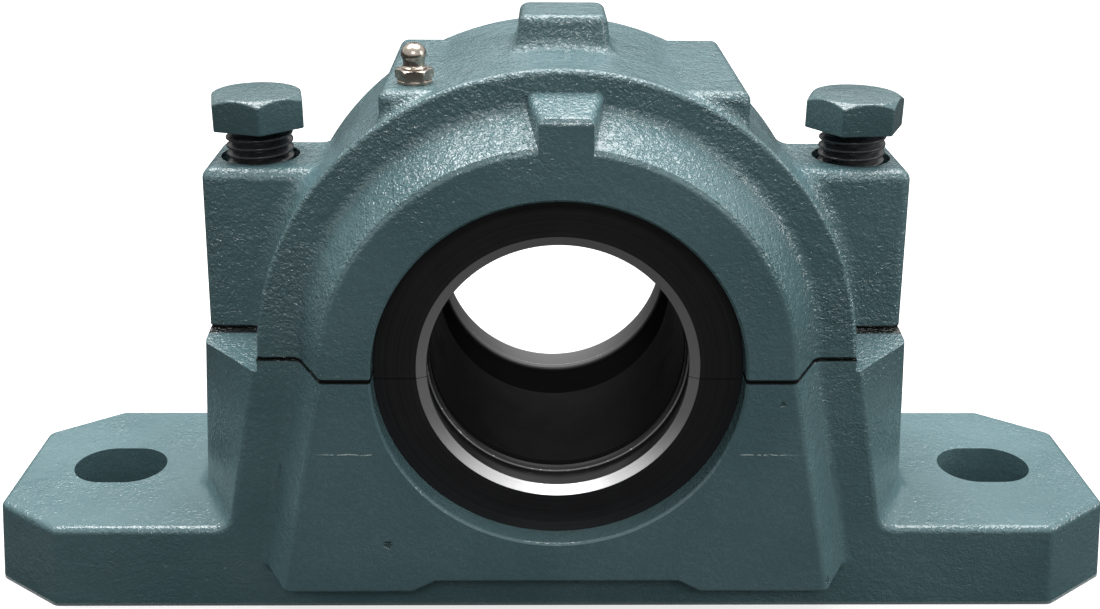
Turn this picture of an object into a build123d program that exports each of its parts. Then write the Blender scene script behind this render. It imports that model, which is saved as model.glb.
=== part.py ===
"""Split plummer block: a two-piece cast housing for a self-aligning ball bearing.

The housing stands on its base. The origin is the centre of the base's bottom face,
X runs along the base, Y runs along the shaft and Z is up. All sizes are in millimetres.
"""
import os
from math import acos, cos, degrees, radians, sin, sqrt

from build123d import *

# Foot plate
base_length = 285.0
base_end_draft = 2.5
base_width = 64.0
base_thickness = 22.3
corner_length = 17.5
corner_depth = 13.0
slot_inset = 27.5
slot_length = 24.0
slot_width = 18.5

# Housing body
centre_height = 68.0
joint_gap = 0.3
hub_width = 89.0
hub_face_radius = 53.5
hub_root_radius = 61.0
drum_radius = 69.9
drum_drop = 2.0
drum_rim_round = 1.2
hub_side_slope = 0.21
hub_foot_height = 12.0
relief_half_width = 29.0
relief_run = 5.5
relief_height = 3.0
hub_low_round = 1.0
column_outer_top = 84.4
column_outer_foot = 89.8
column_corner_top = 20.0
column_corner_foot = 10.0
column_wall_top = 70.3
column_wall_foot = 79.8
shoulder_fall = 3.4

# Cap; its pads and bosses stand a little to one side, as cast
cap_shift = 1.1
lug_reach = 13.3
lug_width = 26.6
lug_height = 39.9
lug_draft = 1.4
pad_reach = 40.8
pad_width = 59.0
pad_drop = 5.5
crown_length = 19.8
crown_width = 19.2
crown_draft = 1.0
crown_rise = 7.4
brow_width = 11.6
brow_root_width = 17.6
brow_stand = 6.6
brow_rise = 3.4

# Edge rounds of the castings
edge_round = 1.8
corner_round = 3.0
root_round = 3.0
foot_round = 4.0
lug_round = 5.0
lug_edge_round = 2.8
pad_edge_round = 2.4
crown_foot_round = 3.2

# Cap bolts, M16 with a 21 mm hexagon
bolt_spacing = 143.4
bolt_diameter = 16.0
bolt_length = 70.0
bolt_lift = 7.5
bolt_head_height = 7.9
bolt_head_flats = 21.0
bolt_head_chamfer = 1.2
bolt_hole_clearance = 1.4
thread_clearance = 0.05
thread_depth_spare = 3.5
bolt_turn_left = -18.5
bolt_turn_right = 5.0

# Dowel pins
dowel_diameter = 5.0
dowel_length = 16.0
dowel_place_x = 56.0
dowel_place_y = 29.5
dowel_clearance = 0.02
dowel_end_chamfer = 0.5

# Shaft, adapter sleeve, nut and washer
shaft_diameter = 60.0
sleeve_front = 26.8
sleeve_back = 12.0
sleeve_wall = 2.7
sleeve_taper = 1.0 / 24.0
sleeve_slit = 4.0
sleeve_chamfer = 0.6
cone_clearance = 0.02
nut_radius = 42.5
nut_width = 11.0
nut_slot_width = 8.0
nut_slot_depth = 3.5
nut_chamfer = 1.0
nut_slots = 4
washer_thickness = 1.5
washer_inset = 3.5
washer_tab_width = 3.6
washer_tabs = 17
washer_tab_reach = 3.0

# Bearing
bearing_diameter = 120.0
bearing_width = 23.0
ball_radius = 5.2
ball_row_offset = 5.7
balls_per_row = 20
ball_clearance = 0.3
inner_ring_radius = 43.5
inner_land_depth = 3.15
cage_thickness = 3.4
cage_width = 19.0
cage_clearance = 0.3
seat_width = 44.0
seat_clearance = 0.05
ring_edge = 0.8
locating_ring_radius = 53.5
locating_ring_gap = 12.0

# Grease chamber and seals
chamber_width = 53.0
chamber_radius = 54.0
seal_bore_radius = 42.2
seal_outer_face = 38.7
seal_inner_face = 27.5
seal_lip_gap = 0.1
seal_fit = 0.05
seal_split = 0.2
seal_split_drop = 1.9
seal_chamfer = 2.3
seal_chamfer_depth = 1.2
seal_land = 1.6
seal_groove_depth = 1.3
seal_rear_land = 2.4
seal_tongue_height = 3.6
seal_tongue_width = 4.0
seal_tongue_offset = 3.0
bore_edge_chamfer = 0.5

# Grease nipple
nipple_x = -32.2
nipple_y = -20.4
nipple_thread_diameter = 6.0
nipple_thread_length = 6.0
nipple_flats = 7.6
nipple_turn = 4.0
nipple_hex_height = 2.2
nipple_hex_chamfer = 0.35
nipple_flange_diameter = 7.9
nipple_flange_height = 0.75
nipple_groove_height = 0.25
nipple_groove_diameter = 7.0
nipple_face_margin = 0.2
nipple_collar_diameter = 5.6
nipple_collar_height = 0.35
nipple_neck_diameter = 4.8
nipple_neck_height = 0.9
nipple_head_diameter = 5.75
nipple_head_rim = 0.35
nipple_head_drop = 2.5
nipple_height = 8.8
nipple_mouth_diameter = 1.5
nipple_bore_diameter = 3.0
nipple_seat_depth = 1.2
check_ball_diameter = 2.0
check_ball_clearance = 0.06
spring_wire = 0.3
spring_diameter = 1.9
spring_turns = 5
oil_hole_diameter = 3.0

# Worked-out sizes
half_base_width = base_width / 2
slot_spacing = base_length - 2 * slot_inset
drum_top = centre_height - drum_drop + drum_radius
crown_height = drum_top + crown_rise
pad_height = drum_top - pad_drop
brow_height = centre_height + hub_face_radius + brow_stand
half_hub_width = hub_width / 2
shaft_radius = shaft_diameter / 2
bolt_x = bolt_spacing / 2
lug_x = bolt_x + lug_reach
lug_top = centre_height + lug_height
joint_low = centre_height - joint_gap / 2
joint_high = centre_height + joint_gap / 2
seat_radius = bearing_diameter / 2 + seat_clearance
half_bearing = bearing_width / 2
pitch_radius = inner_ring_radius + inner_land_depth
raceway_radius = sqrt(pitch_radius ** 2 + ball_row_offset ** 2) + ball_radius + ball_clearance
washer_radius = inner_ring_radius - washer_inset
thread_hole_radius = bolt_diameter / 2 + thread_clearance
bolt_hole_radius = bolt_diameter / 2 + bolt_hole_clearance
bolt_tip = lug_top + bolt_lift - bolt_length
thread_hole_bottom = bolt_tip - bolt_lift - thread_depth_spare
block_reach = 2 * (base_length + crown_height)

AXIS = Location((0, 0, centre_height), (-90, 0, 0))


def eight_sided(outer_x, outer_y, wall_x, wall_y, height):
    """Flat face with eight sides, symmetric about X and Y, at the given height."""
    quarter = [(outer_x, outer_y), (wall_x, wall_y)]
    back = [(-x, y) for x, y in reversed(quarter)]
    front = [(-x, -y) for x, y in quarter]
    last = [(x, -y) for x, y in reversed(quarter)]
    outline = Polyline(*(quarter + back + front + last), close=True)
    return Pos(0, 0, height) * make_face(outline)


def turned(points):
    """Ring turned about the shaft axis from (radius, place along the shaft) points."""
    outline = Polyline(*[(radius, 0, along) for radius, along in points], close=True)
    ring = revolve(make_face(outline), Axis.Z, 360)
    return AXIS * ring


def shaft_disc(radius, low, high):
    """Solid disc about the shaft axis between two places along the shaft."""
    return AXIS * Pos(0, 0, (low + high) / 2) * Cylinder(radius, high - low)


def block(low, high):
    """Box from its lowest corner to its highest corner."""
    size = [b - a for a, b in zip(low, high)]
    middle = [(a + b) / 2 for a, b in zip(low, high)]
    return Pos(*middle) * Box(*size)


def above(shape, level):
    """Part of a shape above a level."""
    return shape & block((-block_reach, -block_reach, level), (block_reach, block_reach, block_reach))


def below(shape, level):
    """Part of a shape below a level."""
    return shape & block((-block_reach, -block_reach, -block_reach), (block_reach, block_reach, level))


def mirrored_pair(shape, plane):
    """A shape together with its mirror image."""
    return shape + mirror(shape, about=plane)


def housing_cavity():
    """Bearing seat, grease chambers, seal bores and seal grooves as one turned solid."""
    half_seat = seat_width / 2
    half_chamber = chamber_width / 2
    groove_low = seal_inner_face + seal_tongue_offset - seal_fit
    groove_high = groove_low + seal_tongue_width + 2 * seal_fit
    groove_radius = seal_bore_radius + seal_tongue_height + seal_fit
    bore_radius = seal_bore_radius + seal_fit
    mouth_radius = bore_radius + bore_edge_chamfer
    half = [
        (seat_radius, 0),
        (seat_radius, half_seat),
        (chamber_radius, half_seat),
        (chamber_radius, half_chamber),
        (bore_radius, half_chamber),
        (bore_radius, groove_low),
        (groove_radius, groove_low),
        (groove_radius, groove_high),
        (bore_radius, groove_high),
        (bore_radius, half_hub_width - bore_edge_chamfer),
        (mouth_radius, half_hub_width),
        (mouth_radius, half_hub_width + edge_round),
        (0, half_hub_width + edge_round),
    ]
    other = [(radius, -along) for radius, along in reversed(half[1:])]
    return turned(half + other)


def foot_plate():
    """Plate with cut corners."""
    outlines = []
    for height, draft in ((0, 0), (base_thickness, base_end_draft)):
        end = base_length / 2 - draft
        outlines.append(eight_sided(
            end, half_base_width - corner_depth, end - corner_length, half_base_width, height))
    plate = loft(outlines, ruled=True)
    upright = [edge for edge in plate.edges() if abs(edge.tangent_at(0.5).Z) > 0.9]
    return fillet(upright, corner_round)


def fixing_slots():
    """Two round-ended slots through the foot plate."""
    outline = SlotOverall(slot_length, slot_width)
    slot = extrude(Pos(slot_spacing / 2, 0, -edge_round) * outline, base_thickness + 2 * edge_round)
    return mirrored_pair(slot, Plane.YZ)


def columns():
    """Tapered body between the foot plate and the joint face."""
    foot = eight_sided(
        column_outer_foot, column_corner_foot, column_wall_foot, half_base_width, base_thickness
    )
    top = eight_sided(
        column_outer_top, column_corner_top, column_wall_top, half_base_width, joint_low
    )
    body = loft([foot, top], ruled=True)
    slanted = [edge for edge in body.edges()
               if abs(edge.tangent_at(0.5).Z) > 0.9 and abs(edge.center().Y) < half_base_width - 1]
    body = fillet(slanted, corner_round)
    return body + extrude(foot, -corner_round)


def foot_and_columns():
    """Foot plate with the columns on it, and the rounds where they meet and along their edges."""
    body = foot_plate() + columns()
    level = [edge for edge in body.edges() if abs(edge.center().Z - base_thickness) < 0.01]
    meeting = [edge for edge in level
               if abs(edge.center().Y) < half_base_width - 0.5
               and column_wall_foot - corner_round < abs(edge.center().X) < column_outer_foot + 0.5]
    body = fillet(meeting, foot_round)
    rim = [edge for edge in body.edges()
           if abs(edge.center().Z - base_thickness) < 0.01
           and (abs(edge.center().Y) > half_base_width - 0.5
                or abs(edge.center().X) > column_outer_foot + 2 * foot_round)]
    wall = [edge for edge in body.edges()
            if abs(abs(edge.center().Y) - half_base_width) < 0.5
            and base_thickness + 0.01 < edge.center().Z < joint_low - 1
            and edge.length > 2]
    return fillet(rim + wall, edge_round)


def hub_front():
    """Straight-sided lower hub that stands out of the front wall."""
    drop = joint_low - hub_foot_height
    spread = drop * hub_side_slope
    sections = []
    for along, half_top in ((half_base_width - edge_round, hub_root_radius), (half_hub_width, hub_face_radius)):
        plane = Plane(origin=(0, -along, 0), x_dir=(1, 0, 0), z_dir=(0, -1, 0))
        outline = Polyline(
            (half_top, joint_low),
            (-half_top, joint_low),
            (-half_top - spread, hub_foot_height),
            (-relief_half_width - relief_run, hub_foot_height),
            (-relief_half_width, hub_foot_height + relief_height),
            (relief_half_width, hub_foot_height + relief_height),
            (relief_half_width + relief_run, hub_foot_height),
            (half_top + spread, hub_foot_height),
            close=True,
        )
        sections.append(plane * make_face(outline))
    body = loft(sections, ruled=True)
    front = [edge for edge in body.edges() if abs(edge.center().Y + half_hub_width) < 0.001]
    sides = [edge for edge in front if abs(edge.tangent_at(0.5).Z) > 0.9]
    body = fillet(sides, edge_round)
    low = [edge for edge in body.edges()
           if abs(edge.center().Y + half_hub_width) < 0.001
           and edge.center().Z < hub_foot_height + relief_height + hub_low_round
           and abs(edge.tangent_at(0.5).Z) < 0.9]
    return fillet(low, hub_low_round)


def shoulder_slopes():
    """Four wedges that slope the top of the base down from the cap lugs to the walls."""
    outline = Polyline(
        (lug_width / 2, joint_low),
        (half_base_width + edge_round, joint_low - shoulder_fall),
        (half_base_width + edge_round, joint_low + edge_round),
        (lug_width / 2, joint_low + edge_round),
        close=True,
    )
    plane = Plane(origin=(drum_radius, 0, 0), x_dir=(0, 1, 0), z_dir=(1, 0, 0))
    wedge = extrude(plane * make_face(outline), column_outer_foot - drum_radius)
    return mirrored_pair(mirrored_pair(wedge, Plane.XZ), Plane.YZ)


def base():
    """Lower half of the housing with its foot, columns and half cavity."""
    body = foot_and_columns() + mirrored_pair(hub_front(), Plane.XZ)
    corners = [edge for edge in body.edges()
               if abs(abs(edge.center().Y) - half_base_width) < 0.5
               and abs(edge.center().X) < column_wall_top
               and base_thickness < edge.center().Z < joint_low - 1
               and edge.length > base_thickness]
    body = fillet(corners, root_round)
    body -= shoulder_slopes()
    body -= housing_cavity()
    body -= fixing_slots()
    for side in (-1, 1):
        hole_length = joint_low - thread_hole_bottom
        hole = Pos(side * bolt_x, 0, (joint_low + thread_hole_bottom) / 2)
        body -= hole * Cylinder(thread_hole_radius, hole_length + joint_gap)
    return body - dowel_holes()


def cap_drum():
    """Round body of the cap with its two flared hubs."""
    drum = Pos(0, 0, -drum_drop) * shaft_disc(drum_radius, -half_base_width, half_base_width)
    drum = fillet(drum.edges().filter_by(GeomType.CIRCLE), drum_rim_round)
    flare = half_hub_width - half_base_width + edge_round
    hub = Cone(hub_root_radius, hub_face_radius, flare)
    rim = [edge for edge in hub.edges().filter_by(GeomType.CIRCLE)
           if abs(edge.center().Z - flare / 2) < 1e-3]
    hub = fillet(rim, edge_round)
    hub = AXIS * Pos(0, 0, half_hub_width - flare / 2) * hub
    body = drum + mirrored_pair(hub, Plane.XZ)
    root = [edge for edge in body.edges().filter_by(GeomType.CIRCLE)
            if abs(abs(edge.center().Y) - half_base_width) < 0.01
            and hub_face_radius < edge.radius < drum_radius - drum_rim_round - 0.1]
    return fillet(root, root_round)


def cap_lug():
    """Right-hand lug for a cap bolt, with a little draft on its end."""
    plane = Plane.XZ.offset(-lug_width / 2)
    outline = Polyline(
        (drum_radius / 2, centre_height - edge_round),
        (lug_x, centre_height - edge_round),
        (lug_x - lug_draft, lug_top),
        (drum_radius / 2, lug_top),
        close=True,
    )
    lug = extrude(plane * make_face(outline), lug_width)
    rounded = [edge for edge in lug.edges()
               if edge.center().X > drum_radius / 2 + 1 and edge.center().Z > centre_height]
    return fillet(rounded, lug_edge_round)


def cap_pad():
    """Flat-topped right-hand pad on the shoulder of the cap."""
    inner = drum_radius / 3
    pad = block((inner, -pad_width / 2, centre_height), (pad_reach, pad_width / 2, pad_height))
    rounded = [edge for edge in pad.edges()
               if edge.center().X > inner + 1 and edge.center().Z > centre_height + 1]
    return fillet(rounded, pad_edge_round)


def crown():
    """Boss on the top centre of the cap."""
    low = drum_top - corner_round
    spread = 2 * crown_draft * (crown_height - low) / crown_rise
    foot = Pos(cap_shift, 0, low) * Rectangle(crown_length + spread, crown_width + spread)
    top = Pos(cap_shift, 0, crown_height) * Rectangle(crown_length, crown_width)
    boss = loft([foot, top], ruled=True)
    corners = [edge for edge in boss.edges() if abs(edge.tangent_at(0.5).Z) > 0.5]
    boss = fillet(corners, corner_round)
    return fillet(boss.edges().group_by(Axis.Z)[-1], edge_round)


def brow():
    """Boss on top of the front hub, flush with its face and wider towards the wall."""
    inside = centre_height + hub_face_radius - 2 * corner_round
    sections = []
    for along, half, top in (
        (half_hub_width, brow_width / 2, brow_height),
        (half_base_width - edge_round, brow_root_width / 2, brow_height + brow_rise),
    ):
        plane = Plane(origin=(0, -along, 0), x_dir=(1, 0, 0), z_dir=(0, -1, 0))
        outline = Polyline((half, inside), (half, top), (-half, top), (-half, inside), close=True)
        sections.append(plane * make_face(outline))
    boss = loft(sections, ruled=True)
    rounded = [edge for edge in boss.edges()
               if edge.center().Y < -half_base_width and edge.center().Z > inside + 1
               and edge.center().Z > brow_height - edge_round]
    return Pos(cap_shift, 0, 0) * fillet(rounded, edge_round)


def grease_hole():
    """Threaded hole for the nipple, its spot face and the oil hole below it."""
    thread = Cylinder(nipple_thread_diameter / 2, nipple_thread_length + ring_edge)
    thread = Pos(nipple_x, nipple_y, pad_height - (nipple_thread_length - ring_edge) / 2) * thread
    depth = pad_height - centre_height
    drill = Pos(nipple_x, nipple_y, pad_height - depth / 4) * Cylinder(oil_hole_diameter / 2, depth / 2)
    face_radius = nipple_flange_diameter / 2 + nipple_face_margin
    face_height = nipple_height / 2
    spot_face = Pos(nipple_x, nipple_y, pad_height + face_height / 2) * Cylinder(face_radius, face_height)
    return thread + drill + spot_face


def dowel_place(side):
    """Middle of one dowel pin in the joint plane."""
    return Pos(side * dowel_place_x, side * dowel_place_y, centre_height)


def dowel_holes():
    """Blind dowel holes on both sides of the joint."""
    hole = Cylinder(dowel_diameter / 2 + dowel_clearance, dowel_length + 2 * dowel_end_chamfer)
    return dowel_place(-1) * hole + dowel_place(1) * hole


def cap():
    """Upper half of the housing with its lugs, pads and bosses."""
    body = cap_drum() + mirrored_pair(cap_lug(), Plane.YZ)
    sides = [edge for edge in body.edges().filter_by(GeomType.CIRCLE)
             if abs(abs(edge.center().Y) - lug_width / 2) < 0.1 and edge.radius > drum_radius - 0.1]
    tops = [edge for edge in body.edges().filter_by(GeomType.LINE)
            if abs(edge.center().Z - lug_top) < 0.1 and abs(edge.center().X) < drum_radius]
    body = fillet(sides + tops, lug_round)
    body += Pos(cap_shift, 0, 0) * mirrored_pair(cap_pad(), Plane.YZ)
    shoulders = [edge for edge in body.edges()
                 if abs(abs(edge.center().X - cap_shift) - pad_reach) < 0.3
                 and edge.center().Z < pad_height - 2 * edge_round
                 and edge.length > pad_width / 2]
    body = fillet(shoulders, root_round)
    body += crown()
    foot = [edge for edge in body.edges()
            if abs(edge.center().X) < crown_length and abs(edge.center().Y) < crown_width
            and centre_height + seat_radius < edge.center().Z < drum_top + 0.5]
    body = fillet(foot, crown_foot_round)
    body += mirrored_pair(brow(), Plane.XZ)
    body -= housing_cavity()
    body = above(body, joint_high)
    for side in (-1, 1):
        body -= Pos(side * bolt_x, 0, lug_top) * Cylinder(bolt_hole_radius, 4 * lug_height)
    body -= grease_hole()
    return body - dowel_holes()


def cap_bolt(side, turn):
    """Hexagon bolt screwed part of the way down."""
    head_low = lug_top + bolt_lift
    hexagon = RegularPolygon(bolt_head_flats / 2, 6, major_radius=False)
    corner = bolt_head_flats / 2 / cos(radians(30))
    head = extrude(hexagon, bolt_head_height)
    flat_part = bolt_head_height - bolt_head_chamfer
    lathe = Pos(0, 0, flat_part / 2) * Cylinder(corner, flat_part)
    top = Cone(corner, bolt_head_flats / 2, bolt_head_chamfer)
    lathe += Pos(0, 0, flat_part + bolt_head_chamfer / 2) * top
    head = head & lathe
    shank = Cylinder(bolt_diameter / 2, bolt_length)
    tip = shank.edges().filter_by(GeomType.CIRCLE).sort_by(Axis.Z)[0]
    shank = chamfer(tip, bolt_head_chamfer)
    shank = Pos(0, 0, -bolt_length / 2) * shank
    return Pos(side * bolt_x, 0, head_low) * Rot(0, 0, turn) * (head + shank)


def dowel_pin(side):
    """Straight pin with chamfered ends."""
    pin = Cylinder(dowel_diameter / 2, dowel_length)
    return dowel_place(side) * chamfer(pin.edges().filter_by(GeomType.CIRCLE), dowel_end_chamfer)


def seal_ring(grooved):
    """Whole seal before it is parted at the joint, with or without a groove in its lip."""
    lip = shaft_radius + seal_lip_gap
    outer = seal_bore_radius
    tongue = outer + seal_tongue_height
    tongue_low = seal_inner_face + seal_tongue_offset
    tongue_high = tongue_low + seal_tongue_width
    groove_high = seal_outer_face - seal_chamfer_depth - seal_land
    groove_low = seal_inner_face + seal_rear_land
    groove = [
        (lip, groove_low - sleeve_chamfer),
        (lip + sleeve_chamfer, groove_low),
        (lip + seal_groove_depth, groove_low),
        (lip + seal_groove_depth, groove_high),
        (lip, groove_high),
    ]
    points = [
        (lip + seal_chamfer, seal_outer_face),
        (outer, seal_outer_face),
        (outer, tongue_high),
        (tongue, tongue_high),
        (tongue, tongue_low),
        (outer, tongue_low),
        (outer, seal_inner_face),
        (lip + sleeve_chamfer, seal_inner_face),
        (lip, seal_inner_face + sleeve_chamfer),
    ]
    if grooved:
        points += groove
    points.append((lip, seal_outer_face - seal_chamfer_depth))
    return turned([(radius, -along) for radius, along in points])


def seal_half(end, upper):
    """One half of a seal: end is -1 at the front and 1 at the back."""
    ring = seal_ring(end < 0)
    if end > 0:
        ring = mirror(ring, about=Plane.XZ)
    level = centre_height - seal_split_drop
    if upper:
        return above(ring, level + seal_split / 2)
    return below(ring, level - seal_split / 2)


def outer_ring():
    """Bearing outer ring with its ball-shaped raceway."""
    ring = shaft_disc(bearing_diameter / 2, -half_bearing, half_bearing)
    ring = chamfer(ring.edges().filter_by(GeomType.CIRCLE), ring_edge)
    return ring - Pos(0, 0, centre_height) * Sphere(raceway_radius)


def cone_radius(along):
    """Outside radius of the adapter sleeve's cone at a place along the shaft."""
    return shaft_radius + sleeve_wall + (along + half_bearing) * sleeve_taper


def inner_ring():
    """Bearing inner ring with a tapered bore and two ball grooves."""
    bore_front = cone_radius(-half_bearing) + cone_clearance
    bore_back = cone_radius(half_bearing) + cone_clearance
    body = turned([
        (bore_front, -half_bearing),
        (inner_ring_radius - ring_edge, -half_bearing),
        (inner_ring_radius, -half_bearing + ring_edge),
        (inner_ring_radius, half_bearing - ring_edge),
        (inner_ring_radius - ring_edge, half_bearing),
        (bore_back, half_bearing),
    ])
    for row in (-1, 1):
        groove = Torus(pitch_radius, ball_radius + ball_clearance)
        body -= AXIS * Pos(0, 0, row * ball_row_offset) * groove
    return body


def ball_places(row):
    """Middles of the balls in one row; the rows are half a step apart."""
    step = 360.0 / balls_per_row
    start = 0 if row < 0 else step / 2
    places = []
    for number in range(balls_per_row):
        angle = radians(start + number * step)
        x = pitch_radius * cos(angle)
        z = centre_height + pitch_radius * sin(angle)
        places.append((x, row * ball_row_offset, z))
    return places


def ball_row(row):
    """All the balls of one row as separate solids."""
    return Compound(children=[Pos(*place) * Sphere(ball_radius) for place in ball_places(row)])


def cage_pocket(place):
    """Round window through the cage for the ball at a place, along its radius."""
    x, y, z = place
    direction = Vector(x, 0, z - centre_height)
    window = Cylinder(ball_radius + cage_clearance, 3 * cage_thickness)
    return Plane(origin=place, z_dir=direction) * window


def ball_cage():
    """Cage ring with a pocket for every ball."""
    half = cage_width / 2
    inside = pitch_radius - cage_thickness / 2
    ring = shaft_disc(inside + cage_thickness, -half, half) - shaft_disc(inside, -2 * half, 2 * half)
    for row in (-1, 1):
        for place in ball_places(row):
            ring -= cage_pocket(place)
    return ring


def locating_ring(end):
    """Open ring that holds the outer ring in the middle of its seat."""
    near = half_bearing
    far = seat_width / 2 - seat_clearance
    ring = shaft_disc(bearing_diameter / 2, near, far) - shaft_disc(locating_ring_radius, near - 1, far + 1)
    oil_angle = degrees(acos(nipple_x / seat_radius))
    gap = Pos(seat_radius, 0, (near + far) / 2) * Box(seat_radius, locating_ring_gap, bearing_width)
    ring -= AXIS * Rot(0, 0, -oil_angle) * gap
    if end < 0:
        return mirror(ring, about=Plane.XZ)
    return ring


def sleeve_slit_block(width):
    """Upright slab that opens the sleeve on its upper side."""
    top = centre_height + nut_radius
    return block((-width / 2, -sleeve_front - 1, centre_height), (width / 2, sleeve_back + 1, top))


def adapter_sleeve():
    """Slit tapered sleeve that clamps the inner ring to the shaft."""
    body = turned([
        (shaft_radius + sleeve_chamfer, -sleeve_front),
        (cone_radius(-half_bearing) - sleeve_chamfer, -sleeve_front),
        (cone_radius(-half_bearing), -sleeve_front + sleeve_chamfer),
        (cone_radius(-half_bearing), -half_bearing),
        (cone_radius(sleeve_back), sleeve_back),
        (shaft_radius + sleeve_chamfer, sleeve_back),
        (shaft_radius, sleeve_back - sleeve_chamfer),
        (shaft_radius, -sleeve_front + sleeve_chamfer),
    ])
    return body - sleeve_slit_block(sleeve_slit)


def washer_tab(angle, inner, outer, low, high):
    """One tab of the lock washer, turned to its place."""
    middle = (inner + outer) / 2
    tab = Pos(middle, 0, (low + high) / 2) * Box(outer - inner, washer_tab_width, high - low)
    return AXIS * Rot(0, 0, angle) * tab


def lock_washer():
    """Tab washer between the inner ring and the nut."""
    near = -half_bearing
    far = near - washer_thickness
    hole = cone_radius(-half_bearing) + cone_clearance
    body = shaft_disc(washer_radius, far, near) - shaft_disc(hole, far - 1, near + 1)
    body += washer_tab(-90, shaft_radius + sleeve_chamfer, hole + 1, far, near)
    for number in range(washer_tabs):
        angle = number * 360.0 / washer_tabs
        body += washer_tab(angle, washer_radius - 1, washer_radius + washer_tab_reach, far, near)
    return body


def lock_nut():
    """Slotted round nut that pulls the sleeve into the inner ring."""
    near = -half_bearing - washer_thickness
    far = near - nut_width
    body = shaft_disc(nut_radius, far, near)
    body = chamfer(body.edges().filter_by(GeomType.CIRCLE), nut_chamfer)
    body -= shaft_disc(cone_radius(-half_bearing) + cone_clearance, far - 1, near + 1)
    for number in range(nut_slots):
        slot = Pos(nut_radius, 0, (near + far) / 2) * Box(2 * nut_slot_depth, nut_slot_width, 2 * nut_width)
        body -= AXIS * Rot(0, 0, 45 + number * 360.0 / nut_slots) * slot
    return body


def nipple_stem():
    """Turned part of the nipple above its hexagon: collar, neck and rounded head."""
    low = nipple_flange_height + nipple_groove_height + nipple_hex_height
    collar_top = low + nipple_collar_height
    rim_high = nipple_height - nipple_head_drop
    rim_low = rim_high - nipple_head_rim
    neck = nipple_neck_diameter / 2
    neck_low = collar_top + nipple_neck_height / 2
    neck_high = neck_low + nipple_neck_height
    head = nipple_head_diameter / 2
    outline = [(0, low - nipple_hex_chamfer), (nipple_collar_diameter / 2, low - nipple_hex_chamfer)]
    outline += [(nipple_collar_diameter / 2, collar_top), (neck, neck_low), (neck, neck_high)]
    outline += [(head, rim_low), (head, rim_high)]
    steps = 6
    for step in range(1, steps):
        angle = radians(75.0 * step / steps)
        outline.append((head * cos(angle), rim_high + nipple_head_drop * sin(angle) / sin(radians(75.0))))
    outline += [(head * cos(radians(75.0)), nipple_height), (0, nipple_height)]
    section = make_face(Polyline(*[(radius, 0, height) for radius, height in outline], close=True))
    return revolve(section, Axis.Z, 360)


def nipple_hexagon():
    """Hexagon of the nipple with its corners chamfered at both ends."""
    flat = nipple_flats / 2
    corner = flat / cos(radians(30))
    hexagon = extrude(RegularPolygon(flat, 6, major_radius=False), nipple_hex_height)
    lathe = Cylinder(corner, nipple_hex_height)
    lathe = chamfer(lathe.edges().filter_by(GeomType.CIRCLE), nipple_hex_chamfer, corner - flat)
    lathe = Pos(0, 0, nipple_hex_height / 2) * lathe
    return Pos(0, 0, nipple_flange_height + nipple_groove_height) * Rot(0, 0, nipple_turn) * (hexagon & lathe)


def nipple_body():
    """Grease nipple with its thread, flange, hexagon, stem and inner bore."""
    thread = Pos(0, 0, -nipple_thread_length / 2) * Cylinder(
        nipple_thread_diameter / 2 - dowel_clearance, nipple_thread_length)
    flange = Pos(0, 0, nipple_flange_height / 2) * Cylinder(nipple_flange_diameter / 2, nipple_flange_height)
    groove_top = nipple_flange_height + nipple_groove_height
    groove = Pos(0, 0, groove_top / 2) * Cylinder(nipple_groove_diameter / 2, groove_top)
    body = thread + flange + groove + nipple_hexagon() + nipple_stem()
    bore_top = nipple_height - nipple_seat_depth
    bore_length = bore_top + nipple_thread_length + nipple_hex_chamfer
    body -= Pos(0, 0, bore_top - bore_length / 2) * Cylinder(nipple_bore_diameter / 2, bore_length)
    body -= Pos(0, 0, nipple_height) * Cylinder(nipple_mouth_diameter / 2, 4 * nipple_seat_depth)
    return Pos(nipple_x, nipple_y, pad_height) * body


def check_ball_height():
    """Middle of the check ball where it closes the mouth of the nipple."""
    radius = check_ball_diameter / 2 + check_ball_clearance
    return nipple_height - nipple_seat_depth - sqrt(radius ** 2 - (nipple_mouth_diameter / 2) ** 2)


def nipple_ball():
    """Check ball pressed against the mouth of the nipple."""
    return Pos(nipple_x, nipple_y, pad_height + check_ball_height()) * Sphere(check_ball_diameter / 2)


def nipple_spring():
    """Coil spring below the check ball."""
    top = check_ball_height() - check_ball_diameter / 2 - spring_wire
    bottom = -nipple_thread_length + spring_wire
    pitch = (top - bottom) / spring_turns
    radius = spring_diameter / 2
    path = Helix(pitch, top - bottom, radius)
    section = Plane(origin=path @ 0, z_dir=path % 0) * Circle(spring_wire / 2)
    return Pos(nipple_x, nipple_y, pad_height + bottom) * sweep(section, path)


def build():
    """All the pieces by name."""
    return {
        "base": base(),
        "cap": cap(),
        "cap_bolt_left": cap_bolt(-1, bolt_turn_left),
        "cap_bolt_right": cap_bolt(1, bolt_turn_right),
        "dowel_pin_left": dowel_pin(-1),
        "dowel_pin_right": dowel_pin(1),
        "seal_front_lower": seal_half(-1, False),
        "seal_front_upper": seal_half(-1, True),
        "seal_back_lower": seal_half(1, False),
        "seal_back_upper": seal_half(1, True),
        "locating_ring_front": locating_ring(-1),
        "locating_ring_back": locating_ring(1),
        "bearing_outer_ring": outer_ring(),
        "bearing_inner_ring": inner_ring(),
        "ball_cage": ball_cage(),
        "ball_row_front": ball_row(-1),
        "ball_row_back": ball_row(1),
        "adapter_sleeve": adapter_sleeve(),
        "lock_washer": lock_washer(),
        "lock_nut": lock_nut(),
        "nipple_body": nipple_body(),
        "nipple_ball": nipple_ball(),
        "nipple_spring": nipple_spring(),
    }


os.makedirs("parts", exist_ok=True)
for name, piece in build().items():
    export_step(piece, f"parts/{name}.step")
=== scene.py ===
"""Looks of a split plummer block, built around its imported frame.

Lengths are in metres in the frame's own axes: X along the foot, Y along the shaft, Z up.
"""

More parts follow.
